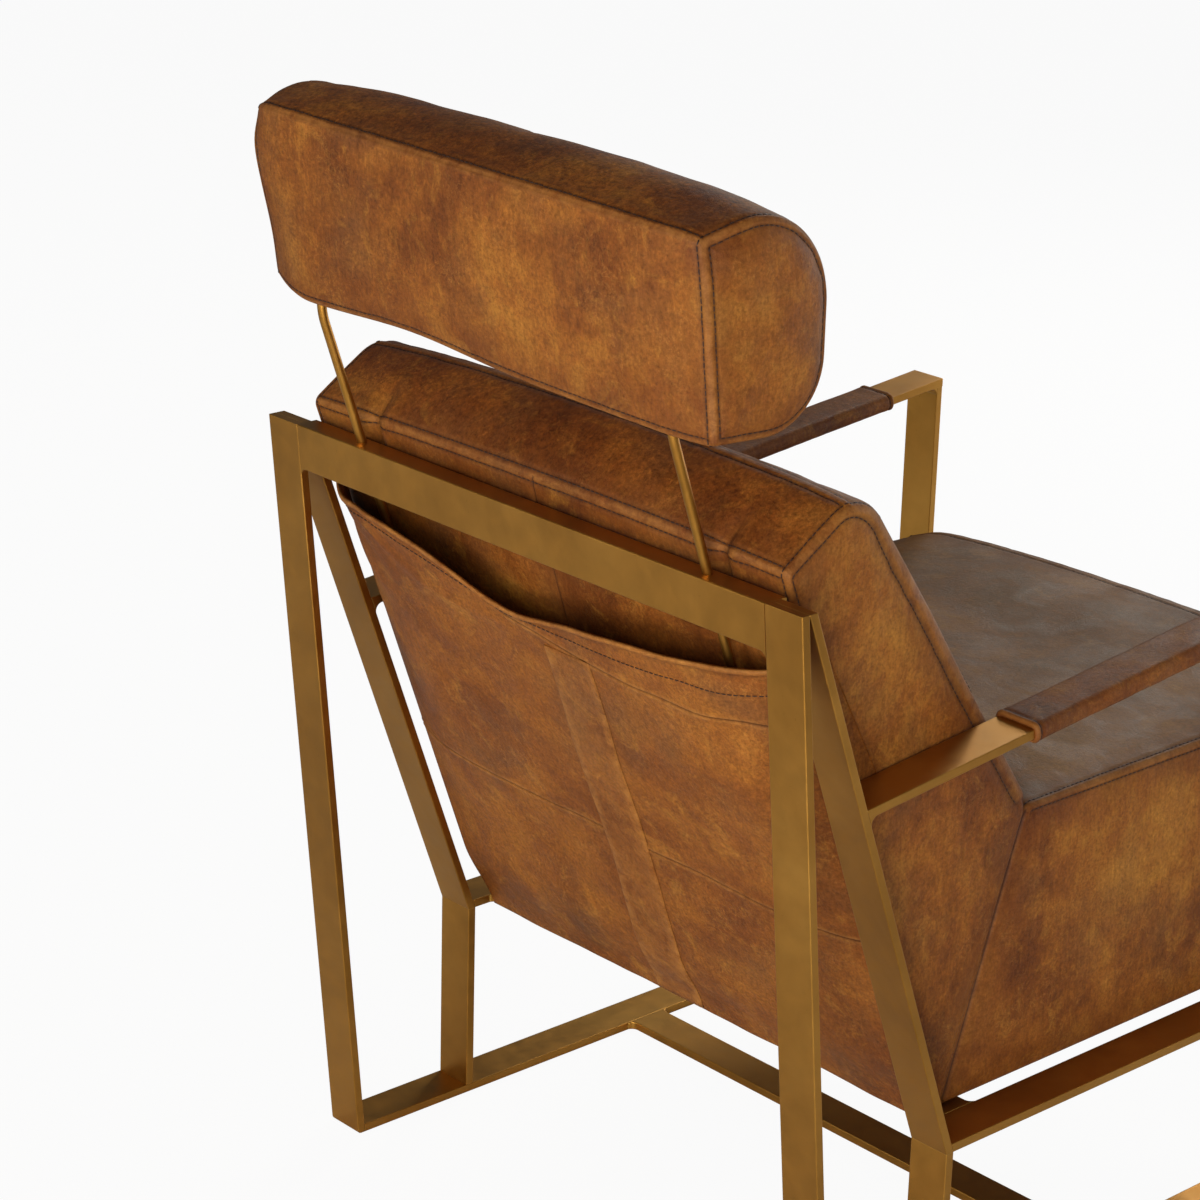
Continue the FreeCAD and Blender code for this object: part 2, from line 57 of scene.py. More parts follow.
# Sewing: grid lines each side of a seam, the stitch row, the height of the leather across a topstitched and
# a plain seam, and the rings of an end panel as shares of the way to its middle
seam_lines = (1.2, 2.6, 4.5, 6.6, 10.0, 15.0)
stitch_row = 4.5
seam_far = 1000.0
relief_at = (0.0, 0.9, 1.8, 3.4, 4.5, 5.6, 8.0, 14.0)
relief_height = (0.7, 0.8, 0.85, 0.6, -0.7, 0.25, 0.2, 0.0)
plain_at = (0.0, 1.2, 2.6, 6.0)
plain_height = (-0.9, 0.1, 0.35, 0.0)
panel_rings = (0.18, 0.34, 0.5, 0.66, 0.8, 0.92)


def back_place(x, along, forward):
    """Points given across, along the inclined back and forward of its bars' rear faces."""
    y = y_shift + along * back_sin - forward * back_cos
    z = kink_height + along * back_cos + forward * back_sin
    return np.stack([x + 0 * y, y, z], -1) * mm


def side_place(x, y, z):
    """Points given in the chair's drawing frame."""
    return np.stack([x + 0 * y, y + y_shift, z + 0 * y], -1) * mm


# Materials

# Leather: shades by their distance from the middle tone, the height below which up-facing leather gets the
# seat's painted sheen and the one above which it gets the top panels' painted grain shade. Brass: where the
# butt joints of the top bar are, in metres.
leather_middle = 0.505
leather_shades = ((-0.135, (96, 50, 19)), (-0.05, (117, 64, 23)), (0.0, (132, 76, 28)),
                  (0.055, (147, 89, 33)), (0.145, (168, 112, 45)))
seat_sheen_below = 0.52
top_shade_above = 0.66
joint_above = 0.658
joint_reach = 0.004


def linear(red, green, blue):
    """Shader colour of a screen colour in 0 to 255."""
    values = []
    for channel in (red, green, blue):
        c = channel / 255
        values.append(c / 12.92 if c <= 0.04045 else ((c + 0.055) / 1.055) ** 2.4)
    return (*values, 1.0)


class Tree:
    """Short ways to add nodes to a material or a world."""

    def __init__(self, owner, place="Object"):
        owner.use_nodes = True
        self.owner = owner
        self.nodes = owner.node_tree.nodes
        self.links = owner.node_tree.links
        self.place = place and self.add("ShaderNodeTexCoord").outputs[place]

    def put(self, socket, value):
        """Link an output to a socket, or set the socket to a constant."""
        if isinstance(value, bpy.types.NodeSocket):
            self.links.new(value, socket)
        else:
            socket.default_value = value

    def add(self, kind, inputs=None, **settings):
        node = self.nodes.new(kind)
        for name, value in settings.items():
            setattr(node, name, value)
        for name, value in (inputs or {}).items():
            self.put(node.inputs[name], value)
        return node

    def noise(self, scale, detail, rough, stretch=(1, 1, 1), offset=(0, 0, 0), warp=0.0):
        place = self.add("ShaderNodeMapping", {"Vector": self.place, "Scale": stretch, "Location": offset})
        return self.add("ShaderNodeTexNoise", {"Vector": place.outputs[0], "Scale": scale, "Detail": detail,
                                               "Roughness": rough, "Distortion": warp}).outputs[0]

    def ramp(self, factor, stops):
        node = self.add("ShaderNodeValToRGB", {"Fac": factor})
        ramp = node.color_ramp
        while len(ramp.elements) < len(stops):
            ramp.elements.new(0.5)
        for element, (at, colour) in zip(ramp.elements, stops):
            element.position = at
            element.color = colour if hasattr(colour, "__len__") else (colour, colour, colour, 1.0)
        return node.outputs[0]

    def mix(self, factor, first, second, blend="MIX"):
        inputs = {0: factor, 6: first, 7: second}
        return self.add("ShaderNodeMix", inputs, data_type="RGBA", blend_type=blend).outputs[2]

    def math(self, operation, *values):
        return self.add("ShaderNodeMath", dict(enumerate(values)), operation=operation).outputs[0]

    def times(self, first, second):
        return self.math("MULTIPLY", first, second)

    def dot(self, first, second):
        node = self.add("ShaderNodeVectorMath", {0: first, 1: second}, operation="DOT_PRODUCT")
        return node.outputs["Value"]

    def parts(self, vector):
        """Outputs X, Y and Z of a vector."""
        return self.add("ShaderNodeSeparateXYZ", {"Vector": vector}).outputs

    def blend(self, share, first, second):
        """One shader that goes over into another."""
        return self.add("ShaderNodeMixShader", {0: share, 1: first, 2: second}).outputs[0]

    def attribute(self, name):
        return self.add("ShaderNodeAttribute", attribute_name=name).outputs["Fac"]

    def bump(self, height, strength, distance, below=None):
        inputs = {"Height": height, "Strength": strength, "Distance": distance}
        if below is not None:
            inputs["Normal"] = below
        return self.add("ShaderNodeBump", inputs).outputs[0]

    def finish(self, colour, rough, normal, **constants):
        shader = self.nodes["Principled BSDF"]
        inputs = {"Base_Color": colour, "Roughness": rough, "Normal": normal, **constants}
        for name, value in inputs.items():
            self.put(shader.inputs[name.replace("_", " ")], value)
        return self.owner


def leather(name, shift, spread):
    """Waxed pull-up leather: cloudy cognac, mottled and flecked, worn along the seams; painted shade at
    seams, creases and top panels, painted seat sheen.
    """
    t = Tree(bpy.data.materials.new(name))
    clouds = t.noise(6.5, 4.0, 0.55, offset=(shift, 0, 0), warp=0.5)
    patches = t.noise(19.0, 6.0, 0.62, offset=(0, shift, 0), warp=1.0)
    mottle = t.noise(75.0, 6.0, 0.72, offset=(shift, shift, 0), warp=0.5)
    flecks = t.noise(330.0, 5.0, 0.75, offset=(0, 0, shift))
    fibres = t.noise(55.0, 6.0, 0.7, stretch=(4.0, 4.0, 1.0), offset=(0, 0, shift), warp=0.5)
    pores = t.noise(1300.0, 2.0, 0.5)
    broad = t.math("ADD", t.times(clouds, 0.60), t.times(patches, 0.26))
    tone = t.math("ADD", broad, t.times(mottle, 0.14))
    colour = t.ramp(tone, [(leather_middle + at * spread, linear(*shade)) for at, shade in leather_shades])
    grey = t.ramp(t.noise(11.0, 5.0, 0.6, offset=(3 + shift, 7, 1)), [(0.50, 0.0), (0.72, 0.5)])
    colour = t.mix(grey, colour, linear(106, 72, 43))
    gold = t.ramp(t.noise(30.0, 8.0, 0.74, offset=(shift, 5, 2), warp=0.7), [(0.54, 0.0), (0.70, 0.6)])
    colour = t.mix(gold, colour, linear(172, 116, 46))
    ridge = t.math("SUBTRACT", t.noise(62.0, 8.0, 0.7, offset=(shift, 5, 2), warp=0.9), 0.5)
    broken = t.ramp(t.noise(24.0, 4.0, 0.6, offset=(2, shift, 6)), [(0.48, 0.0), (0.62, 1.0)])
    scratch = t.times(t.ramp(t.math("ABSOLUTE", ridge), [(0.0, 0.42), (0.02, 0.0)]), broken)
    colour = t.mix(scratch, colour, linear(178, 122, 56))
    colour = t.mix(0.85, colour, t.ramp(flecks, [(0.30, 0.52), (0.50, 1.0), (0.70, 1.42)]), "MULTIPLY")
    colour = t.mix(0.8, colour, t.ramp(fibres, [(0.33, 0.78), (0.67, 1.20)]), "MULTIPLY")
    up = t.parts(t.add("ShaderNodeNewGeometry").outputs["Normal"])["Z"]
    up = t.ramp(up, [(0.45, 0.0), (0.85, 1.0)])
    height = t.parts(t.place)["Z"]
    # Painted light and shade: up-facing leather high on the chair gets a redder grain with deeper darks and
    # brighter flecks, standing in for grazing light on the top panels
    grain = t.ramp(t.noise(190.0, 8.0, 0.8, offset=(shift, 1, 4), warp=0.3),
                   [(0.36, (0.42, 0.34, 0.28, 1)), (0.50, (1.0, 0.92, 0.82, 1)),
                    (0.64, (1.62, 1.46, 1.28, 1))])
    panel = t.times(up, t.math("GREATER_THAN", height, top_shade_above))
    colour = t.mix(panel, colour, t.mix(0.9, colour, grain, "MULTIPLY"))
    # Painted sheen: up-facing seat leather is mixed 40 % towards a pale olive that stands in for a reflection
    # of the bright surroundings
    seat_sheen = t.times(t.times(up, t.math("LESS_THAN", height, seat_sheen_below)), 0.4)
    colour = t.mix(seat_sheen, colour, linear(120, 98, 58))
    # Painted shade: leather near the seams is darkened towards deep red, broken up by the patches
    seam_shade = t.times(t.attribute("seam_shade"), t.ramp(patches, [(0.36, 0.35), (0.62, 1.0)]))
    colour = t.mix(seam_shade, colour, linear(88, 39, 13))
    worn = t.times(t.attribute("wear"), t.ramp(mottle, [(0.36, 0.10), (0.62, 0.90)]))
    colour = t.mix(worn, colour, linear(182, 124, 62))
    # Painted shade: the leather goes near black in seam grooves, stitch rows and creases
    colour = t.mix(t.attribute("crease_shade"), colour, linear(40, 20, 10))
    rough = t.ramp(patches, [(0.35, 0.46), (0.65, 0.60)])
    normal = t.bump(patches, 0.24, 0.0014)
    normal = t.bump(mottle, 0.55, 0.0011, normal)
    normal = t.bump(flecks, 0.60, 0.0006, normal)
    normal = t.bump(pores, 0.30, 0.00025, normal)
    return t.finish(colour, rough, normal, Specular_IOR_Level=0.17)


def brass():
    """Aged satin brass: cloudy, with darker specks, and edges lightened by rub wear and a painted highlight
    except at the top bar's joints.
    """
    t = Tree(bpy.data.materials.new("antique_brass"))
    clouds = t.noise(5.0, 5.0, 0.6, warp=0.5)
    haze = t.noise(46.0, 6.0, 0.65, warp=0.4)
    specks = t.noise(300.0, 5.0, 0.7)
    colour = t.ramp(clouds, [(0.34, linear(166, 118, 51)), (0.52, linear(182, 132, 60)),
                             (0.68, linear(194, 144, 68))])
    colour = t.mix(0.6, colour, t.ramp(haze, [(0.34, 0.93), (0.66, 1.06)]), "MULTIPLY")
    colour = t.mix(t.ramp(specks, [(0.64, 0.0), (0.78, 0.4)]), colour, linear(92, 66, 30))
    rounded = t.add("ShaderNodeBevel", {"Radius": 0.001}, samples=4).outputs[0]
    flat = t.add("ShaderNodeNewGeometry").outputs["True Normal"]
    at = t.parts(t.place)
    joint = t.times(t.math("COMPARE", t.math("ABSOLUTE", at["X"]), inner_x * mm, joint_reach),
                    t.math("GREATER_THAN", at["Z"], joint_above))
    # Painted highlight with rub wear: the rounded edges are mixed towards bright brass
    edge_highlight_and_wear = t.ramp(t.dot(rounded, flat), [(0.80, 0.4), (0.985, 0.0)])
    colour = t.mix(t.times(edge_highlight_and_wear, t.math("SUBTRACT", 1.0, joint)), colour, linear(226, 184, 92))
    rough = t.ramp(haze, [(0.35, 0.36), (0.65, 0.45)])
    base = t.add("ShaderNodeMix", {0: joint, 4: rounded, 5: flat}, data_type="VECTOR").outputs[1]
    return t.finish(colour, rough, t.bump(specks, 0.10, 0.0002, base), Metallic=1.0)


def mottled(name, pattern, colours, rough, bump, **constants):
    """Thread, plywood, plastic or plated steel: one pattern in the colour, the gloss and the relief."""
    t = Tree(bpy.data.materials.new(name))
    grain = t.noise(**pattern)
    colour = t.ramp(grain, [(at, linear(*shade)) for at, shade in colours])
    rough = t.ramp(grain, [(0.3, rough[0]), (0.7, rough[1])])
    return t.finish(colour, rough, t.bump(grain, *bump), **constants)


def webbing_material():
    """Dark woven strap."""
    t = Tree(bpy.data.materials.new("webbing_weave"))
    warp, weft = (t.add("ShaderNodeTexWave", {"Vector": t.place, "Scale": scale, "Distortion": 0.6},
                        bands_direction=axis).outputs[1] for axis, scale in (("X", 110.0), ("Y", 70.0)))
    weave = t.times(warp, weft)
    colour = t.ramp(weave, [(0.1, linear(26, 22, 19)), (0.6, linear(62, 54, 46)), (0.95, linear(84, 74, 63))])
    rough = t.ramp(weave, [(0.0, 0.9), (1.0, 0.75)])
    return t.finish(colour, rough, t.bump(weave, 0.5, 0.0006))


# Soft pieces

def wrapped(difference, length):
    """Shortest way between two distances along a closed outline."""
    return (difference + length / 2) % length - length / 2


def smooth(low, high, value):
    """From 0 at low to 1 at high with soft ends."""
    t = np.clip((value - low) / (high - low), 0, 1)
    return t * t * (3 - 2 * t)


def bell(value, width, middle=0.0):
    """From 1 at the middle down to 0 on both sides."""
    return np.exp(-((value - middle) / width) ** 2)


def divided(marks, step):
    """The marks but the last one, with each gap after them split into equal parts no longer than step."""
    grid = []
    for a, b in zip(marks, marks[1:]):
        parts = max(1, math.ceil((b - a) / step))
        grid += [a + (b - a) * i / parts for i in range(parts)]
    return grid


class Outline:
    """Closed side outline of lines and rounded corners, read by the distance along it."""

    def __init__(self, corners):
        points = np.array([c[:2] for c in corners], float)
        count = len(points)
        rounds = []
        for i in range(count):
            a = points[i - 1] - points[i]
            b = points[(i + 1) % count] - points[i]
            a /= np.linalg.norm(a)
            b /= np.linalg.norm(b)
            half = math.acos(float(a @ b)) / 2
            radius = corners[i][2]
            centre = points[i] + (a + b) / np.linalg.norm(a + b) * radius / math.sin(half)
            reach = radius / math.tan(half)
            rounds.append((points[i] + a * reach, points[i] + b * reach, centre, radius, math.pi - 2 * half))
        self.pieces = []
        self.marks = []
        self.length = 0.0
        for i in range(count):
            start, end, centre, radius, sweep = rounds[i]
            run = radius * sweep
            self.pieces.append((self.length, run, start, end, centre, radius, sweep))
            self.marks.append((self.length, self.length + run / 2, self.length + run))
            self.length += run
            after = rounds[(i + 1) % count][0]
            run = float(np.linalg.norm(after - end))
            self.pieces.append((self.length, run, end, after, None, 0.0, 0.0))
            self.length += run
        self.tightest = min(c[2] for c in corners)

    def at(self, s):
        """Point and outward direction at a distance along the outline."""
        s = s % self.length
        for begin, run, start, end, centre, radius, sweep in reversed(self.pieces):
            if s >= begin - 1e-9:
                break
        share = (s - begin) / run if run else 0.0
        if centre is None:
            d = (end - start) / run
            return start + (end - start) * share, np.array([d[1], -d[0]])
        first = (start - centre) / radius
        turn = sweep * share
        out = np.array([first[0] * math.cos(turn) - first[1] * math.sin(turn),
                        first[0] * math.sin(turn) + first[1] * math.cos(turn)])
        return centre + out * radius, out

    def samples(self, seams, step):
        """Distances along the outline for the grid, close together at seams and round corners."""
        keep = []
        for seam in seams:
            keep += [seam] + [seam + side * line for line in seam_lines for side in (-1, 1)]
        for begin, run, start, end, centre, radius, sweep in self.pieces:
            if centre is None:
                continue
            parts = max(2, math.ceil(run / max(0.3 * radius, 1.5)))
            for s in [begin + run * i / parts for i in range(parts + 1)]:
                gap = min([abs(wrapped(s - k, self.length)) for k in keep] or [seam_far])
                if gap > seam_lines[0]:
                    keep.append(s)
        keep = sorted({round(k % self.length, 4) for k in keep})
        return np.array(divided(keep + [keep[0] + self.length], step))


def grid_faces(rows, columns, start=0, closed=True):
    """Faces between rows of points, going round where the rows are closed."""
    faces = []
    for r in range(rows - 1):
        a = start + r * columns
        b = a + columns
        for k in range(columns if closed else columns - 1):
            j = (k + 1) % columns
            faces.append((a + k, a + j, b + j, b + k))
    return faces


def tube_faces(rings, sides, start=0):
    """Faces of a tube of closed rings of points, with its two ends."""
    end = start + rings * sides
    caps = [tuple(reversed(range(start, start + sides))), tuple(range(end - sides, end))]
    return grid_faces(rings, sides, start) + caps


def lumps(points, scale, seed):
    """Soft noise from -1 to 1 at each point."""
    shift = Vector((seed, seed * 1.7, -seed))
    return np.array([noise.noise(Vector(p) * scale + shift) for p in points])


def vectors(items, name):
    """One vector of each item of a mesh, as rows."""
    values = np.zeros(len(items) * 3, np.float32)
    items.foreach_get(name, values)
    return values.reshape(-1, 3).astype(float)


def coords(mesh):
    return vectors(mesh.vertices, "co")


def normals(mesh):
    return vectors(mesh.vertex_normals, "vector")


def set_coords(mesh, points):
    mesh.vertices.foreach_set("co", points.astype(np.float32).ravel())
    mesh.update()


def add_object(name, data):
    obj = bpy.data.objects.new(name, data)
    scene.collection.objects.link(obj)
    return obj


def new_object(name, points, faces, material, flat=False):
    mesh = bpy.data.meshes.new(name)
    mesh.from_pydata([tuple(p) for p in points], [], faces)
    mesh.update()
    mesh.polygons.foreach_set("use_smooth", [not flat] * len(mesh.polygons))
    mesh.materials.append(material)
    return add_object(name, mesh)


def outward(points, faces):
    """The faces of a closed form, turned round if they are inside out."""
    volume = 0.0
    for face in faces:
        for b, c in zip(face[1:], face[2:]):
            volume += float(np.dot(points[face[0]], np.cross(points[b], points[c])))
    return [tuple(reversed(f)) for f in faces] if volume < 0 else faces


def set_attribute(obj, name, values):
    layer = obj.data.attributes.new(name, "FLOAT", "POINT")
    layer.data.foreach_set("value", np.asarray(values, np.float32))


cloth_frames = 20
pinned_within = 7.0


def puff(obj, pinned, free, pressure, cap):
    """Blow the leather up between its seams with a cloth simulation, moving no point more than cap."""
    base = coords(obj.data)
    group = obj.vertex_groups.new(name="seams")
    group.add([int(i) for i in np.nonzero(pinned)[0]], 1.0, "REPLACE")
    cloth = obj.modifiers.new("cloth", "CLOTH")
    settings = {"quality": 4, "mass": 0.4, "tension_stiffness": 25, "compression_stiffness": 25,
                "shear_stiffness": 12, "bending_stiffness": 2.0, "vertex_group_mass": "seams",
                "use_pressure": True, "uniform_pressure_force": pressure}
    for name, value in settings.items():
        setattr(cloth.settings, name, value)
    cloth.settings.effector_weights.gravity = 0
    cloth.collision_settings.use_collision = False
    cloth.point_cache.frame_start = 1
    cloth.point_cache.frame_end = cloth_frames
    for number in range(1, cloth_frames + 1):
        scene.frame_set(number)
    blown = coords(obj.evaluated_get(bpy.context.evaluated_depsgraph_get()).data)
    obj.modifiers.remove(cloth)
    obj.vertex_groups.remove(group)
    scene.frame_set(1)
    move = (blown - base) * free[:, None]
    size = np.linalg.norm(move, axis=1)
    move *= np.minimum(1.0, cap * mm / np.maximum(size, 1e-9))[:, None]
    set_coords(obj.data, base + move)


class Cushion:
    """Leather cushion: a side outline carried across the chair, closed by a panel at each end."""

    def __init__(self, name, outline, half, place, spine, step=6.0, seams=(), cross_lines=(), crowns=(),
                 end_round=7.0, end_bulge=4.0, shape=None, sewn=None, roll=None):
        self.outline = outline
        self.seams = list(seams)
        self.s = outline.samples([at for at, sides in seams], step)
        self.columns = len(self.s)
        self.sewn = np.ones(self.columns, bool) if sewn is None else sewn(self.s)
        self.rolls = np.ones(self.columns) if roll is None else roll(self.s)
        rings = self.plan(half, end_round, step, cross_lines)
        base = np.array([outline.at(s)[0] for s in self.s])
        out = np.array([outline.at(s)[1] for s in self.s])
        spine_a, spine_b = (np.array(p, float) for p in spine)
        reach = np.linalg.norm(spine_b - spine_a)
        axis = (spine_b - spine_a) / reach
        panel = end_round + seam_lines[-1] - end_round * math.pi / 4
        rows = []
        for x, inset, e in rings:
            swell = np.zeros(self.columns)
            for low, high, height, power in crowns:
                t = np.clip(((self.s - low) % outline.length) / ((high - low) % outline.length), 0, 1)
                swell += height * np.sin(math.pi * t) ** 0.8 * (1 - min(1.0, abs(x) / half) ** power)
            deep = inset < 0
            edge = (panel if deep else inset) + (self.rolls - 1) * min(panel if deep else inset, end_round)
            flat = np.minimum(edge, 0.85 * outline.tightest)
            ring = base + out * (swell - flat)[:, None]
            middle = spine_a + np.clip((ring - spine_a) @ axis, 0, reach)[:, None] * axis
            away = middle - ring
            gap = np.maximum(np.linalg.norm(away, axis=1), 1e-6)
            ring = ring + away / gap[:, None] * np.minimum(edge - flat, gap)[:, None]
            if deep:
                ring = ring + ((spine_a + spine_b) / 2 - ring) * -inset
            share = np.clip((inset - end_round) / (panel - end_round), 0, 1)
            share = 0.25 + 0.75 * -inset if deep else 0.25 * share
            bulge = end_bulge * (1 - (1 - share) ** 2)
            rows.append(place(np.full(self.columns, x + math.copysign(bulge, x)), ring[:, 0], ring[:, 1]))
        self.end_distance = np.array([min(abs(e), seam_far) for x, i, e in rings])
        self.is_end = np.array([e > 0 for x, i, e in rings])
        self.across = np.array([x for x, i, e in rings])
        self.rows = len(rings)
        points = np.concatenate(rows)
        points = np.vstack([points, rows[0].mean(0), rows[-1].mean(0)])
        if shape is not None:
            points = shape(points)
        self.obj = new_object(name, points, outward(points, self.faces(len(points))), leather_main)
        self.measure()

    def plan(self, half, end_round, step, cross_lines):
        """Rings from end to end: place across, inset of the outline and distance from the end seam."""
        quarter = end_round * math.pi / 4
        limit = half - end_round - (seam_lines[-1] - quarter)
        close = [0.0] + [side * line for line in seam_lines[:3] for side in (-1, 1)]
        across = divided(sorted([-limit, limit] + [c + o for c in cross_lines for o in close]), step)
        ends = []
        for e in [-line for line in reversed(seam_lines)] + [0.0] + list(seam_lines):
            turn = math.pi / 4 + e / end_round
            if turn < 0:
                ends.append((half - end_round + end_round * turn, 0.0, e))
            elif turn <= math.pi / 2:
                x = half - end_round + end_round * math.sin(turn)
                ends.append((x, end_round * (1 - math.cos(turn)), e))
            else:
                ends.append((half, end_round + e - quarter, e))
        ends += [(half, -share, seam_far) for share in panel_rings]
        middle = [(x, 0.0, -seam_far) for x in across[1:]]
        return [(-x, i, e) for x, i, e in reversed(ends)] + middle + ends

    def faces(self, count):
        """Faces of the grid, and of the fans that close the ends on the last two of count points."""
        n = self.columns
        last = (self.rows - 1) * n
        faces = grid_faces(self.rows, n)
        for k in range(n):
            j = (k + 1) % n
            faces += [(count - 2, j, k), (count - 1, last + k, last + j)]
        return faces

    def measure(self):
        """Distance of each point to the nearest topstitched seam and to the nearest plain one."""
        far = np.full((self.rows, self.columns), seam_far)
        ends = np.repeat(self.end_distance[:, None], self.columns, 1)
        stitched = np.where(self.sewn[None, :], ends, far)
        plain = np.where(self.sewn[None, :], far, ends)
        for at, sides in self.seams:
            d = wrapped(self.s - at, self.outline.length)
            kept = (np.abs(d) < 3.0) | ((d > 0) & (1 in sides)) | ((d < 0) & (-1 in sides))
            line = np.where(kept, np.abs(d), seam_far)
            stitched = np.minimum(stitched, np.where(self.is_end[:, None], seam_far, line[None, :]))
        self.stitched = np.append(stitched.ravel(), [seam_far, seam_far])
        self.plain = np.append(plain.ravel(), [seam_far, seam_far])
        self.end_panel = np.append(np.repeat(self.is_end, self.columns), [True, True])

    def add_plain_seam(self, x, low, high):
        """Count a plain seam that runs round the outline between two distances along it."""
        inside = ((self.s - low) % self.outline.length) < ((high - low) % self.outline.length)
        d = np.where(self.is_end, seam_far, np.abs(self.across - x))
        grid = np.where(inside[None, :], d[:, None], seam_far)
        self.plain = np.minimum(self.plain, np.append(grid.ravel(), [seam_far, seam_far]))

    def blow(self, pressure, cap, free=1.0):
        """Puff the leather, except at the ends and where free is 0."""
        near = np.minimum(self.stitched, self.plain)
        free = free * np.where(self.end_panel, 0.0, smooth(5.0, 30.0, near))
        puff(self.obj, near < pinned_within, free, pressure, cap)

    def sew(self, seed, lump, extra=None):
        """Seam relief, small puckers beside the seams, soft lumps, the wear that follows them, and painted
        shade near the seams and in their grooves.
        """
        points = coords(self.obj.data)
        d = self.stitched
        near = np.minimum(d, self.plain)
        move = np.interp(d, relief_at, relief_height) + np.interp(self.plain, plain_at, plain_height)
        beside = np.exp(-np.maximum(d - stitch_row, 0) / 11.0) * (d > 3.0) * (d < 60)
        move += 0.8 * lumps(points, 85.0, seed) * beside
        away = smooth(2.0, 30.0, near)
        move += (lump * lumps(points, 13.0, seed + 3) + 0.5 * lumps(points, 34.0, seed + 5)) * away
        # Painted shade along the stitch row and in the plain seam's groove
        crease_shade = 0.5 * bell(d, 0.8, stitch_row) + 0.75 * bell(self.plain, 0.8)
        if extra is not None:
            push, dark = extra(points)
            move += push
            crease_shade = np.maximum(crease_shade, dark)
        set_coords(self.obj.data, points + normals(self.obj.data) * (move * mm)[:, None])
        set_attribute(self.obj, "wear", 0.34 * bell(d, 3.2) + 0.12 * np.exp(-near / 14.0))
        # Painted shade that darkens the leather near the seams
        set_attribute(self.obj, "seam_shade", 0.6 * np.exp(-near / 26.0))
        set_attribute(self.obj, "crease_shade", crease_shade)

    def end_rows(self, offsets):
        """Lines of points beside the two end seams, where these are topstitched."""
        n = self.columns
        start = 0 if self.sewn.all() else int(np.nonzero(self.sewn & ~np.roll(self.sewn, 1))[0][0])
        order = [k for k in np.roll(np.arange(n), -start) if self.sewn[k]]
        lines = []
        for r in range(self.rows):
            for offset in offsets:
                if abs(self.end_distance[r] - abs(offset)) < 0.01 and self.is_end[r] == (offset > 0):
                    lines.append((np.array([r * n + k for k in order]), bool(self.sewn.all())))
        return lines

    def seam_rows(self):
        """Lines of points beside the seams that run across the cushion."""
        use = [r for r in range(self.rows) if not self.is_end[r] and self.end_distance[r] > 5.5]
        lines = []
        for at, sides in self.seams:
            for side in sides:
                k = int(np.argmin(np.abs(wrapped(self.s - at - side * stitch_row, self.outline.length))))
                lines.append((np.array([r * self.columns + k for r in use]), False))
        return lines

    def stitch(self, name, body, offsets=(stitch_row, -stitch_row)):
        """Thread at these offsets from the end seams and beside the seams across."""
        stitches(name, self.obj, self.end_rows(offsets) + self.seam_rows(), body)


def stitches(name, obj, lines, body, pitch=5.4, length=4.6, radius=0.58):
    """Thread along lines of a piece's points: one small raised stitch after another."""
    points = coords(obj.data)
    facing = normals(obj.data)
    verts = []
    faces = []
    sides = 6
    profile = [(-0.5, 0.35, -0.45), (-0.36, 0.95, 0.18), (0.0, 1.05, 0.32), (0.36, 0.95, 0.18),
               (0.5, 0.35, -0.45)]
    angles = [2 * math.pi * i / sides for i in range(sides)]
    for index, closed in lines:
        run = points[index]
        out = facing[index]
        if closed:
            run = np.vstack([run, run[:1]])
            out = np.vstack([out, out[:1]])
        travel = np.append(0, np.cumsum(np.linalg.norm(np.diff(run, axis=0), axis=1)))
        count = max(1, int(travel[-1] / (pitch * mm)))
        for i in range(count):
            centre = travel[-1] * (i + 0.5) / count
            ends = np.array([centre - 0.5 * length * mm, centre, centre + 0.5 * length * mm])
            spots = np.stack([np.interp(ends, travel, run[:, c]) for c in range(3)], -1)
            up = np.array([np.interp(centre, travel, out[:, c]) for c in range(3)])
            up /= np.linalg.norm(up)
            along = spots[2] - spots[0]
            side = np.cross(along, up)
            side /= max(np.linalg.norm(side), 1e-9)
            start = len(verts)
            for t, size, lift in profile:
                middle = spots[1] + along * t + up * lift * radius * mm
                for a in angles:
                    verts.append(middle + (side * math.cos(a) + up * math.sin(a)) * size * radius * mm)
            faces += tube_faces(len(profile), sides, start)
    thread = new_object(name, verts, faces, thread_look)
    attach(thread, body)


leather_main = leather("cognac_leather", 0.0, 0.85)
leather_rear = leather("cognac_leather_rear", 4.3, 1.4)
thread_look = mottled("thread", {"scale": 900.0, "detail": 3.0, "rough": 0.5, "stretch": (1, 1, 0.3)},
                      ((0.35, (36, 19, 11)), (0.65, (66, 38, 22))), (0.5, 0.68), (0.3, 0.0002),
                      Specular_IOR_Level=0.35)
brass_look = brass()
looks = dict.fromkeys(("rear_post", "back_bar", "lower_leg", "front_leg", "floor_rail", "seat_rail",
                       "arm_bar", "headrest_rod", "top_bar", "floor_crossbar", "seat_rear_crossbar",
                       "seat_front_crossbar"), brass_look)
looks["seat_webbing"] = webbing_material()
looks["back_board"] = looks["headrest_board"] = mottled(
    "birch_plywood", {"scale": 30.0, "detail": 6.0, "rough": 0.6, "stretch": (0.4, 4.0, 4.0), "warp": 1.2},
    ((0.3, (178, 140, 94)), (0.5, (204, 170, 122)), (0.7, (220, 190, 146))), (0.62, 0.74), (0.2, 0.0005))
looks["guide_block"] = mottled("moulded_nylon", {"scale": 180.0, "detail": 5.0, "rough": 0.6},
                               ((0.35, (22, 22, 23)), (0.65, (40, 40, 42))), (0.5, 0.62), (0.12, 0.0003))
looks["guide_screws"] = looks["rod_clips"] = looks["clip_screws"] = mottled(
    "zinc_steel", {"scale": 90.0, "detail": 5.0, "rough": 0.6},
    ((0.35, (150, 152, 155)), (0.65, (188, 190, 192))), (0.28, 0.4), (0.12, 0.0003), Metallic=1.0)
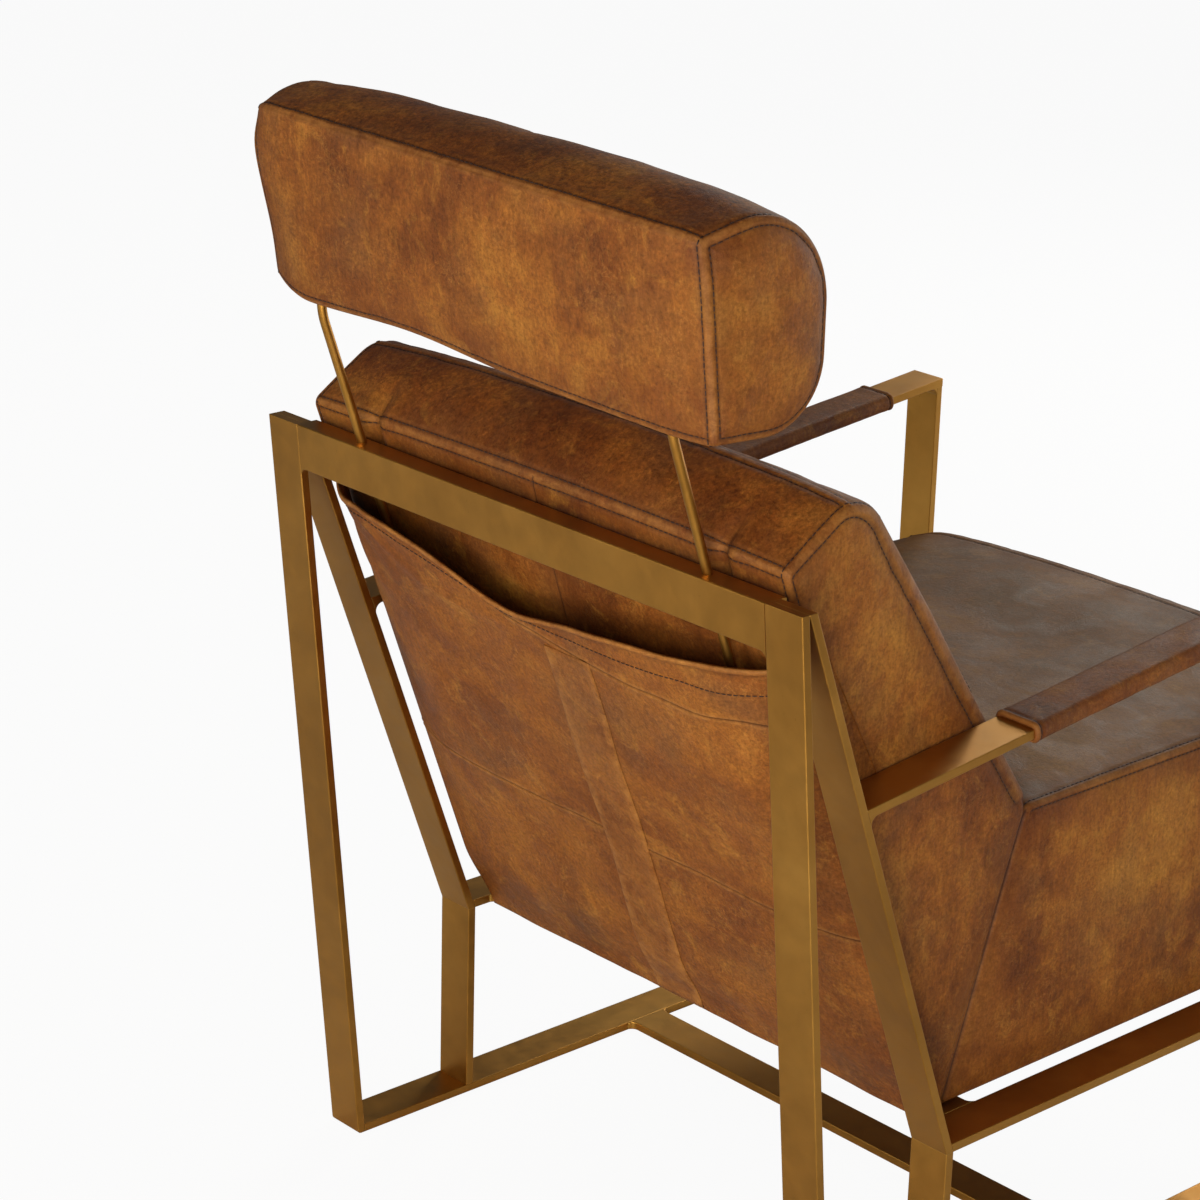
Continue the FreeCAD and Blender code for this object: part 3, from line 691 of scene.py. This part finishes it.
for node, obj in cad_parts.items():
    look = looks.get(node) or looks.get(node.rsplit("_", 1)[0])
    if look:
        obj.data.materials.clear()
        obj.data.materials.append(look)


# Headrest

head_outline = Outline([(237.2, 828.0, 7), (254.8, 988.1, 7), (124.0, 1007.0, 76), (124.0, 822.0, 56)])
head_half = 266.0
head_aside = 6.0
head_roll = math.radians(1.0)
left_raise = 17
right_raise = 1
foot_arch = 7
left_lean = 17
foot_seam = head_outline.marks[0][1]
top_seam = head_outline.marks[1][1]


def head_shape(points):
    """Left lower corner raised, foot arched, upper corners rounded, left end leaning, a slight roll."""
    p = points / mm
    x, y, z = p.T
    near = np.clip((np.abs(x) - 206) / 60, 0, 1.15)
    low = np.clip((908 - z) / 80, 0, 1.1)
    z += np.where(x > 0, left_raise, right_raise) * near ** 2.4 * low ** 1.5
    z += foot_arch * bell(x, 95, 80) * low ** 1.5
    y -= 6 * near ** 2
    corner = near ** 4 * np.exp(-((y - y_shift - 252) ** 2 + (z - 990) ** 2) / 26.0 ** 2)
    x -= corner * np.sign(x) * 9
    y -= corner * 6
    z -= corner * 6
    lean = left_lean * near * (0.9 * smooth(865, 960, z) - 0.12)
    x += head_aside + np.where(x > 0, lean, 0)
    z += x * math.sin(head_roll)
    return p * mm


headrest = Cushion("headrest_leather", head_outline, head_half, side_place, ((190, 885), (190, 935)),
                   step=6.0, seams=((foot_seam, (1,)), (top_seam, (1,))), end_round=8.0, end_bulge=8.0,
                   shape=head_shape,
                   crowns=((foot_seam, top_seam, 5.0, 2.5), (top_seam, head_outline.marks[2][2], 12.0, 5.0),
                           (head_outline.marks[2][1], foot_seam, 4.0, 2.0)))
headrest.blow(4.0, 6.0)
headrest.sew(1.0, 1.5)
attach(headrest.obj, "headrest")
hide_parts("headrest_cushion")
headrest.stitch("headrest_stitching", "headrest")


# Back cushion

back_outline = Outline([(6, 32.5, 4), (60, 25, 60), (140, 20, 80), (557, 20, 9), (578, 117, 38),
                        (208, 212, 26), (1, 42, 4)])
rear_low = back_outline.marks[2][2]
rear_edge = back_outline.marks[3][1]
front_edge = back_outline.marks[4][0] + 16.0
front_top = back_outline.marks[4]
nose = back_outline.marks[5]
back_half = 281.0
back_seam_x = 4.0
top_rise = 5.0
left_fill = 15.0
right_fill = 3.0


def back_sewn(s):
    """The end seams are topstitched from low on the rear, over the top, to the nose."""
    return (s > back_outline.marks[1][1]) & (s < nose[1])


def back_roll(s):
    """The front panel rolls further round the ends than the top does."""
    return 1 + 1.6 * smooth(front_top[0], front_top[2], s) * (1 - smooth(nose[0], nose[2], s))


def back_axes(points):
    """Along the back and forward of its bars' rear faces, in millimetres."""
    y = points[:, 1] / mm - y_shift
    z = points[:, 2] / mm - kink_height
    return y * back_sin + z * back_cos, z * back_sin - y * back_cos


def back_shape(points):
    """Top edge bowed up in the middle, and the sides filled out above the arms, the left one more."""
    along = back_axes(points)[0]
    p = points / mm
    x, y, z = p.T
    rise = top_rise * (1 - (x / back_half) ** 2) * smooth(380, 556, along)
    y += rise * back_sin
    z += rise * back_cos
    wide = smooth(575, 660, z) * np.clip((np.abs(x) - 180) / 100, 0, 1.1) ** 2
    x += wide * np.where(x > 0, left_fill, -right_fill)
    return p * mm


def rod_dents(points):
    """Creases where the rods press into the rear top edge, with the leather raised beside them, and painted
    shade in the fold.
    """
    along, forward = back_axes(points)
    x = points[:, 0] / mm
    away = np.abs(np.abs(x) - rod_x)
    fold = np.abs(x - np.where(x > 0, rod_x - 6.0, -rod_x - 6.0))
    reach = smooth(440, 545, along) * (1 - smooth(22, 66, forward))
    push = reach * (-5.0 * bell(away, 7.0) - 2.5 * bell(fold, 3.0) + 1.5 * bell(away, 8.0, 17))
    return push, 0.7 * reach * bell(fold, 2.6)


back = Cushion("back_leather", back_outline, back_half, back_place, ((90, 72), (480, 62)), step=6.5,
               seams=((rear_edge, (1, -1)), (front_edge, (1, -1))), cross_lines=(back_seam_x, rod_x, -rod_x),
               end_round=8.0, end_bulge=3.0, shape=back_shape, sewn=back_sewn, roll=back_roll,
               crowns=((rear_low, rear_edge, 8.0, 4.0), (rear_edge, front_top[1], 5.0, 14.0),
                       (rear_edge, front_top[1], 5.0, 2.5), (front_top[0], nose[1], 14.0, 5.0)))
back.add_plain_seam(back_seam_x, rear_low, rear_edge)
back.blow(4.0, 8.0, smooth(200, 280, back_axes(coords(back.obj.data))[0]))
back.sew(2.0, 1.6, rod_dents)
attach(back.obj, "chair")
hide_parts("back_cushion")
back.stitch("back_stitching", "chair")


# Seat cushion

seat_outline = Outline([(-606, 203.6, 12), (-39.4, 203.6, 6), (-121.9, 455, 16), (-609, 455, 30)])
seat_rear_edge = seat_outline.marks[2][1]
seat_front_edge = seat_outline.marks[3][0]
seat_half = 280.0
front_crown = 13
corner_drop = 10
corner_back = 7


def seat_sewn(s):
    """The end seams are topstitched along the top and down the front."""
    return s > seat_rear_edge


def seat_shape(points):
    """The top stays crowned over the front edge, and the front corners are rounded off."""
    p = points / mm
    x, y, z = p.T
    side = np.abs(x)
    front = smooth(-200, -400, y)
    corner = front * smooth(218, 285, side) ** 2
    crown = front_crown * front * (1 - np.minimum(side / 285, 1) ** 2.4)
    z += smooth(330, 450, z) * (crown - corner_drop * corner)
    y += corner_back * corner * smooth(203, 260, z)
    return p * mm


seat = Cushion("seat_leather", seat_outline, seat_half, side_place, ((-480, 330), (-230, 330)), step=7.5,
               seams=((seat_front_edge, (1, -1)),), end_round=9.0, end_bulge=3.0, shape=seat_shape,
               sewn=seat_sewn,
               crowns=((seat_rear_edge, seat_front_edge, 10.0, 3.0),
                       (seat_outline.marks[3][1], seat_outline.marks[0][1], 3.0, 3.0)))
seat_y, seat_z = coords(seat.obj.data).T[1:] / mm
seat.blow(4.0, 8.0, smooth(215, 260, seat_z) * (1 - smooth(-160, -128, seat_y - y_shift)))
seat.sew(3.0, 1.7)
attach(seat.obj, "chair")
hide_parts("seat_cushion")
seat.stitch("seat_stitching", "chair")


# Flange along the top bar, which the rods pass through

flange_depth = 10.5
flange_thick = 8.0
flange_hole = 4.7
flange_ease = 0.8
bore_reach = 0.6
rod_axis = Vector((0, 0.333807, 0.942641))


def prism_faces(n):
    """Faces of a prism whose ends are two rings of n points."""
    sides = [((k + 1) % n, k, n + k, n + (k + 1) % n) for k in range(n)]
    return [tuple(range(n)), tuple(reversed(range(n, 2 * n)))] + sides


def bar_block(lo, hi, ease):
    """Vertices and faces of a bar along x whose long front edges are eased."""
    (x0, y0, z0), (x1, y1, z1) = lo, hi
    section = [(y0 + ease, z0), (y1, z0), (y1, z1), (y0 + ease, z1), (y0, z1 - ease), (y0, z0 + ease)]
    return [(x, y, z) for x in (x0, x1) for y, z in section], prism_faces(len(section))


def rod_foot(node):
    """Middle of a rod's lower end."""
    points = [v.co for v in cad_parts[node].data.vertices]
    low = min(p.dot(rod_axis) for p in points)
    ring = [p for p in points if p.dot(rod_axis) < low + 0.0015]
    return sum(ring, Vector()) / len(ring)


def bore(centre, radius, length, sides=32):
    """Vertices and faces of a cylinder along a rod."""
    across = Vector((1, 0, 0))
    other = rod_axis.cross(across)
    turns = [2 * math.pi * k / sides for k in range(sides)]
    verts = [centre + rod_axis * t + (across * math.cos(a) + other * math.sin(a)) * radius
             for t in (-length, length) for a in turns]
    return verts, prism_faces(sides)


bar_lo, bar_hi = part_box("top_bar")
flange_lo = (bar_lo.x - 1 * mm, bar_lo.y - flange_depth * mm, bar_hi.z - flange_thick * mm)
flange_hi = (bar_hi.x + 1 * mm, bar_hi.y - 1.2 * mm, bar_hi.z + 0.1 * mm)
flange = new_object("top_flange", *bar_block(flange_lo, flange_hi, flange_ease * mm), brass_look, flat=True)
for node in ("headrest_rod_left", "headrest_rod_right"):
    cutter = new_object("bore", *bore(rod_foot(node), flange_hole * mm, bore_reach), brass_look, flat=True)
    drill = flange.modifiers.new("bore", "BOOLEAN")
    drill.operation = "DIFFERENCE"
    drill.object = cutter
    bored = bpy.data.meshes.new_from_object(flange.evaluated_get(bpy.context.evaluated_depsgraph_get()))
    flange.modifiers.clear()
    flange.data = bored
    bpy.data.objects.remove(cutter)
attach(flange, "chair")


# Leather pocket behind the back

pocket_half = 282.0
pocket_thick = 2.5
pocket_foot = -10.1
pocket_mouth = 38.0
hem_stitch = 6.5
hem_line = ((-282, 474), (-239, 474), (-163, 471), (-116, 467), (-41, 458), (-19, 454), (18, 449), (44, 453),
            (69, 462), (89, 472), (119, 482), (153, 490), (176, 494), (231, 494), (282, 492))
fold_line = ((-282, 300), (-100, 330), (0, 425), (45, 432), (97, 433), (144, 440), (187, 461), (232, 490),
             (282, 500))
facing_line = ((-282, 418), (-190, 416), (-102, 419), (-36, 426), (7, 437), (30, 442), (60, 446), (119, 456),
               (176, 466), (231, 476), (282, 482))
strip_top = 424.0
strip_left = (-4.0, 54.0)
strip_right = (-60.0, -6.0)


def pocket_swell(x):
    """From 1 in the middle of the pocket down to 0 at its sides."""
    return 1 - np.abs(x / pocket_half) ** 6


def pocket_forward(x, along):
    """How far the pocket's outer face lies forward of the bars' rear faces."""
    edge = 16.3 + 10.8 * (1 - smooth(pocket_foot, 70, along))
    share = np.clip((along - pocket_foot) / 440, 0, 1.2)
    return edge - pocket_mouth * share ** 1.12 * pocket_swell(x)


def soft_line(line, x, reach=12.0):
    """A line given by a few points across the pocket, smoothed."""
    xs, heights = np.array(line, float).T
    return sum(np.interp(x + offset, xs, heights) for offset in np.linspace(-reach, reach, 7)) / 7


def pocket_folds(x, along):
    """Soft folds from the upper corners, slack below the mouth, and room for the ends of the rods."""
    left = pocket_half - x
    right = pocket_half + x
    drop = soft_line(hem_line, x) - along
    ridge = soft_line(fold_line, x) - along
    fold = 2.4 * bell(ridge, 7.0) * smooth(20, 70, x) * (1 - smooth(225, 275, x))
    fold += 2.2 * np.sin((left * 0.9 - drop * 1.15) / 13.0) * bell(left, 42, 50) * bell(drop, 45, 50)
    fold += 2.0 * np.sin((right * 0.9 - drop * 1.3) / 15.0) * bell(right, 60, 70) * bell(drop, 60, 50)
    fold += 1.8 * np.sin(along / 38.0 + x / 120.0) * bell(along, 130, 250) * pocket_swell(x)
    fold += 3.4 * bell(np.abs(x), 30, rod_x) * bell(along, 48, 316)
    return fold


def pocket_lumps(points):
    """Soft unevenness of the pocket's leather."""
    return 1.5 * lumps(points, 11.0, 9.0) + 0.6 * lumps(points, 30.0, 12.0)


def rows_between(low, high, step, near):
    """Distances from low to high, close together by both ends."""
    marks = [0.0, *near]
    return divided([low + m for m in marks] + [high - m for m in reversed(marks)], step) + [high]


shares_panel = np.array(rows_between(0, 100, 3.0, (0.6, 1.3, 2.1, 3.2, 4.8))) / 100
shares_hem = np.array(rows_between(0, 40, 3.0, (1.2, 2.6, 4.2, 6.5, 9.5))) / 40
xs = np.array(rows_between(-pocket_half, pocket_half, 5.5, (1.5, 3.5, 6.5)))
hem = soft_line(hem_line, xs)
facing = soft_line(facing_line, xs)
piecing = 206 + 0.03 * xs
panels = ((np.full_like(xs, pocket_foot), piecing, shares_panel), (piecing, facing, shares_panel[1:]),
          (facing, hem, shares_hem[1:]))
along_grid = np.array([low + (high - low) * share for low, high, shares in panels for share in shares])
x_grid = np.repeat(xs[None, :], len(along_grid), 0)
forward_grid = pocket_forward(x_grid, along_grid)
pocket_outer = back_place(x_grid, along_grid, forward_grid).reshape(-1, 3)
pocket_rows, pocket_columns = along_grid.shape


def sheet_edge(rows, columns):
    """Indices round the border of a sheet's grid, in order."""
    bottom = list(range(columns))
    right = [r * columns + columns - 1 for r in range(1, rows)]
    top = [(rows - 1) * columns + k for k in range(columns - 2, -1, -1)]
    left = [r * columns for r in range(rows - 2, 0, -1)]
    return bottom + right + top + left


outer_faces = grid_faces(pocket_rows, pocket_columns, closed=False)
outer_probe = new_object("pocket_probe", pocket_outer, outer_faces, leather_rear)
outer_normal = normals(outer_probe.data)
bpy.data.objects.remove(outer_probe)
if outer_normal[:, 1].mean() < 0:
    outer_normal = -outer_normal
below_hem = (hem[None, :] - along_grid).ravel()
to_piecing = np.abs(along_grid - piecing[None, :]).ravel()
to_facing = (np.abs(along_grid - facing[None, :]) + seam_far * (x_grid > 40)).ravel()
bead = 1.9 * np.sqrt(np.clip(1 - ((below_hem - 2.2) / 2.6) ** 2, 0, 1))
seam = np.minimum(to_piecing, to_facing)
pocket_move = pocket_folds(x_grid, along_grid).ravel() + bead
pocket_move += np.interp(seam, plain_at, (-0.9, 0.35, 0.6, 0.0))
pocket_move -= 0.45 * bell(below_hem, 1.2, hem_stitch)
pocket_move += pocket_lumps(pocket_outer) * np.clip(pocket_swell(x_grid).ravel() * 3, 0, 1)
pocket_outer = pocket_outer + outer_normal * (pocket_move * mm)[:, None]
pocket_inner = pocket_outer - outer_normal * pocket_thick * mm
count = len(pocket_outer)
pocket_faces = outer_faces + [tuple(i + count for i in reversed(face)) for face in outer_faces]
border = sheet_edge(pocket_rows, pocket_columns)
for a, b in zip(border, border[1:] + border[:1]):
    pocket_faces.append((b, a, a + count, b + count))
pocket = new_object("pocket_leather", np.vstack([pocket_outer, pocket_inner]), pocket_faces, leather_rear)
if normals(pocket.data)[:count, 1].mean() < 0:
    pocket.data.flip_normals()
hem_wear = 0.75 * bell(below_hem, 3.6)
seam_wear = 0.6 * bell(seam, 2.0, 2.0)
set_attribute(pocket, "wear", np.tile(np.maximum(hem_wear, seam_wear), 2))
# Painted shade in the seam grooves and along the hem's stitch line
set_attribute(pocket, "crease_shade", np.tile(0.7 * bell(seam, 1.0) + 0.35 * bell(below_hem, 1.3, hem_stitch), 2))
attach(pocket, "chair")
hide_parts("back_pocket")
middle = len(xs) // 2
hem_row = int(np.argmin(np.abs(hem[middle] - along_grid[:, middle] - hem_stitch)))
hem_points = np.arange(hem_row * pocket_columns + 2, (hem_row + 1) * pocket_columns - 2)
stitches("pocket_stitching", pocket, [(hem_points, False)], "chair")


def pocket_strip():
    """Raised band of leather down the middle of the pocket."""
    down = np.linspace(pocket_foot + 2, strip_top, 90)
    profile = [(0.0, -0.3), (0.015, 0.9), (0.05, 1.5), (0.2, 1.3), (0.5, 1.2), (0.8, 1.3), (0.95, 1.5),
               (0.985, 0.9), (1.0, -0.3), (0.8, -0.6), (0.5, -0.6), (0.2, -0.6)]
    share = ((down - pocket_foot) / (strip_top - pocket_foot)) ** 0.85
    left = strip_left[1] + (strip_left[0] - strip_left[1]) * share
    right = strip_right[1] + (strip_right[0] - strip_right[1]) * share
    verts = []
    for u, lift in profile:
        x = left + (right - left) * u
        base = pocket_forward(x, down) - pocket_folds(x, down)
        spot = back_place(x, down, base)
        verts.append(back_place(x, down, base - pocket_lumps(spot) - lift))
    points = np.array(verts).transpose(1, 0, 2).reshape(-1, 3)
    faces = outward(points, tube_faces(len(down), len(profile)))
    obj = new_object("pocket_strip", points, faces, leather_rear)
    edge = np.array([min(u, 1 - u) for u, lift in profile])
    low = 0.34 - 0.20 * share
    set_attribute(obj, "wear", (np.where(edge < 0.06, 0.45, 0.0)[None, :] + low[:, None]).ravel())
    # Painted shade along the strip's two edges
    set_attribute(obj, "crease_shade", np.tile(np.where(edge == 0, 0.75, 0.0), len(down)))
    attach(obj, "chair")


pocket_strip()


# Arm wraps

arm_drop = math.radians(5.75)
wrap_start = -545.0
wrap_length = 474.0
arm_middle = 604.0 - math.tan(arm_drop) * (wrap_start + 619.0) - 4.02
wrap_outline = Outline([(-22.6, -8.6, 7.0), (22.6, -8.6, 7.0), (22.6, 8.6, 7.0), (-22.6, 8.6, 7.0)])


def wrap_place(side):
    """Carry the arm wrap's section along one arm."""
    def place(travel, across, up):
        t = travel + wrap_length / 2
        y = wrap_start + t * math.cos(arm_drop) + up * math.sin(arm_drop)
        z = arm_middle - t * math.sin(arm_drop) + up * math.cos(arm_drop)
        return np.stack([side * (inner_x + 20.0) + across, y + y_shift, z], -1) * mm
    return place


under_seam = wrap_outline.marks[0][2] + (wrap_outline.marks[1][0] - wrap_outline.marks[0][2]) / 2
for side, word in ((1, "left"), (-1, "right")):
    wrap = Cushion("arm_leather_" + word, wrap_outline, wrap_length / 2, wrap_place(side),
                   ((-16, 0), (16, 0)), step=6.0, seams=((under_seam, (1, -1)),),
                   end_round=2.0, end_bulge=0.5,
                   crowns=((wrap_outline.marks[2][1], wrap_outline.marks[3][1], 0.8, 4.0),))
    wrap.sew(6.0 + side, 0.6)
    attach(wrap.obj, "chair")
    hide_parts("arm_wrap_" + word)
    wrap.stitch("arm_stitching_" + word, "chair", (-stitch_row,))


# Stage, light and camera

floor_half = 9.0
floor_level = -0.0006
floor_white = 0.94
window_side = (-0.36, 0.345, 0.0)
window_colour = (1.0, 0.975, 0.91, 1)
softbox_colour = (1.0, 0.968, 0.89)

t = Tree(bpy.data.materials.new("pale_floor"), None)
matt = t.nodes["Principled BSDF"]
matt.inputs["Base Color"].default_value = (0.86, 0.86, 0.86, 1)
matt.inputs["Roughness"].default_value = 0.9
white = t.add("ShaderNodeEmission", {"Strength": 1.0})
seen = t.times(t.add("ShaderNodeLightPath").outputs["Is Camera Ray"], floor_white)
t.put(t.nodes["Material Output"].inputs["Surface"], t.blend(seen, matt.outputs[0], white.outputs[0]))
corners = [(x * floor_half, y * floor_half, floor_level) for x, y in ((-1, -1), (1, -1), (1, 1), (-1, 1))]
floor = new_object("studio_floor", corners, [(0, 1, 2, 3)], t.owner, flat=True)

world = bpy.data.worlds.new("studio")
scene.world = world
sky = Tree(world, "Generated")
sky_side = sky.math("ADD", sky.dot(sky.place, window_side), 0.5)
sky_height = sky.parts(sky.place)["Z"]


def studio_wall(far, zenith, strength):
    """Background that is brighter on the side of the big windows and falls off overhead."""
    around = sky.ramp(sky_side, [(0.0, far), (1.0, window_colour)])
    above = sky.ramp(sky_height, [(0.0, 1.0), (0.75, zenith)])
    colour = sky.mix(1.0, around, above, "MULTIPLY")
    return sky.add("ShaderNodeBackground", {"Color": colour, "Strength": strength}).outputs[0]


# The camera sees white paper, glossy rays see the walls darker away from the windows
paper = sky.add("ShaderNodeBackground", {"Color": (1, 1, 1, 1)}).outputs[0]
ray = sky.add("ShaderNodeLightPath").outputs
light = sky.blend(ray["Is Glossy Ray"], studio_wall(0.68, 0.46, 0.40), studio_wall(0.14, 0.3, 0.85))
for kind in ("Is Camera Ray", "Is Transmission Ray"):
    light = sky.blend(ray[kind], light, paper)
sky.put(sky.nodes["World Output"].inputs["Surface"], light)

# Place, target, size and power of each softbox
softboxes = {"key_softbox": ((-2.3, 2.6, 1.0), (0, 0.1, 0.55), (1.7, 1.5), 45),
             "low_softbox": ((-1.7, 2.6, 0.3), (0, 0.1, 0.4), (1.6, 0.5), 26),
             "fill_softbox": ((0.9, 3.6, 1.2), (0, 0.1, 0.55), (2.2, 2.0), 31),
             "front_softbox": ((-0.6, -3.6, 1.0), (0, 0, 0.55), (2.2, 1.8), 42),
             "far_softbox": ((1.6, -3.0, 2.3), (0, 0, 0.5), (1.2, 1.2), 36)}
for name, (place, target, size, power) in softboxes.items():
    lamp = bpy.data.lights.new(name, "AREA")
    lamp.shape = "RECTANGLE"
    lamp.size, lamp.size_y = size
    lamp.energy = power
    lamp.color = softbox_colour
    obj = add_object(name, lamp)
    obj.location = place
    obj.rotation_euler = (Vector(target) - Vector(place)).to_track_quat("-Z", "Y").to_euler()

camera_data = bpy.data.cameras.new("camera")
camera_data.sensor_fit = "HORIZONTAL"
camera_data.sensor_width = 36.0
camera_data.lens = 103.575
camera_data.clip_end = 50.0
camera = add_object("camera", camera_data)
right = Vector((-0.66693094, -0.74470758, 0.02477391))
down = Vector((-0.26692828, 0.20774467, -0.94105868))
ahead = Vector((0.69566689, -0.63423401, -0.33733486))
turn = Matrix((right, -down, -ahead)).transposed().to_4x4()
camera.matrix_world = Matrix.Translation((-1.97818, 1.90676 + y_shift * mm, 1.56481)) @ turn
scene.camera = camera

scene.view_settings.view_transform = "Standard"
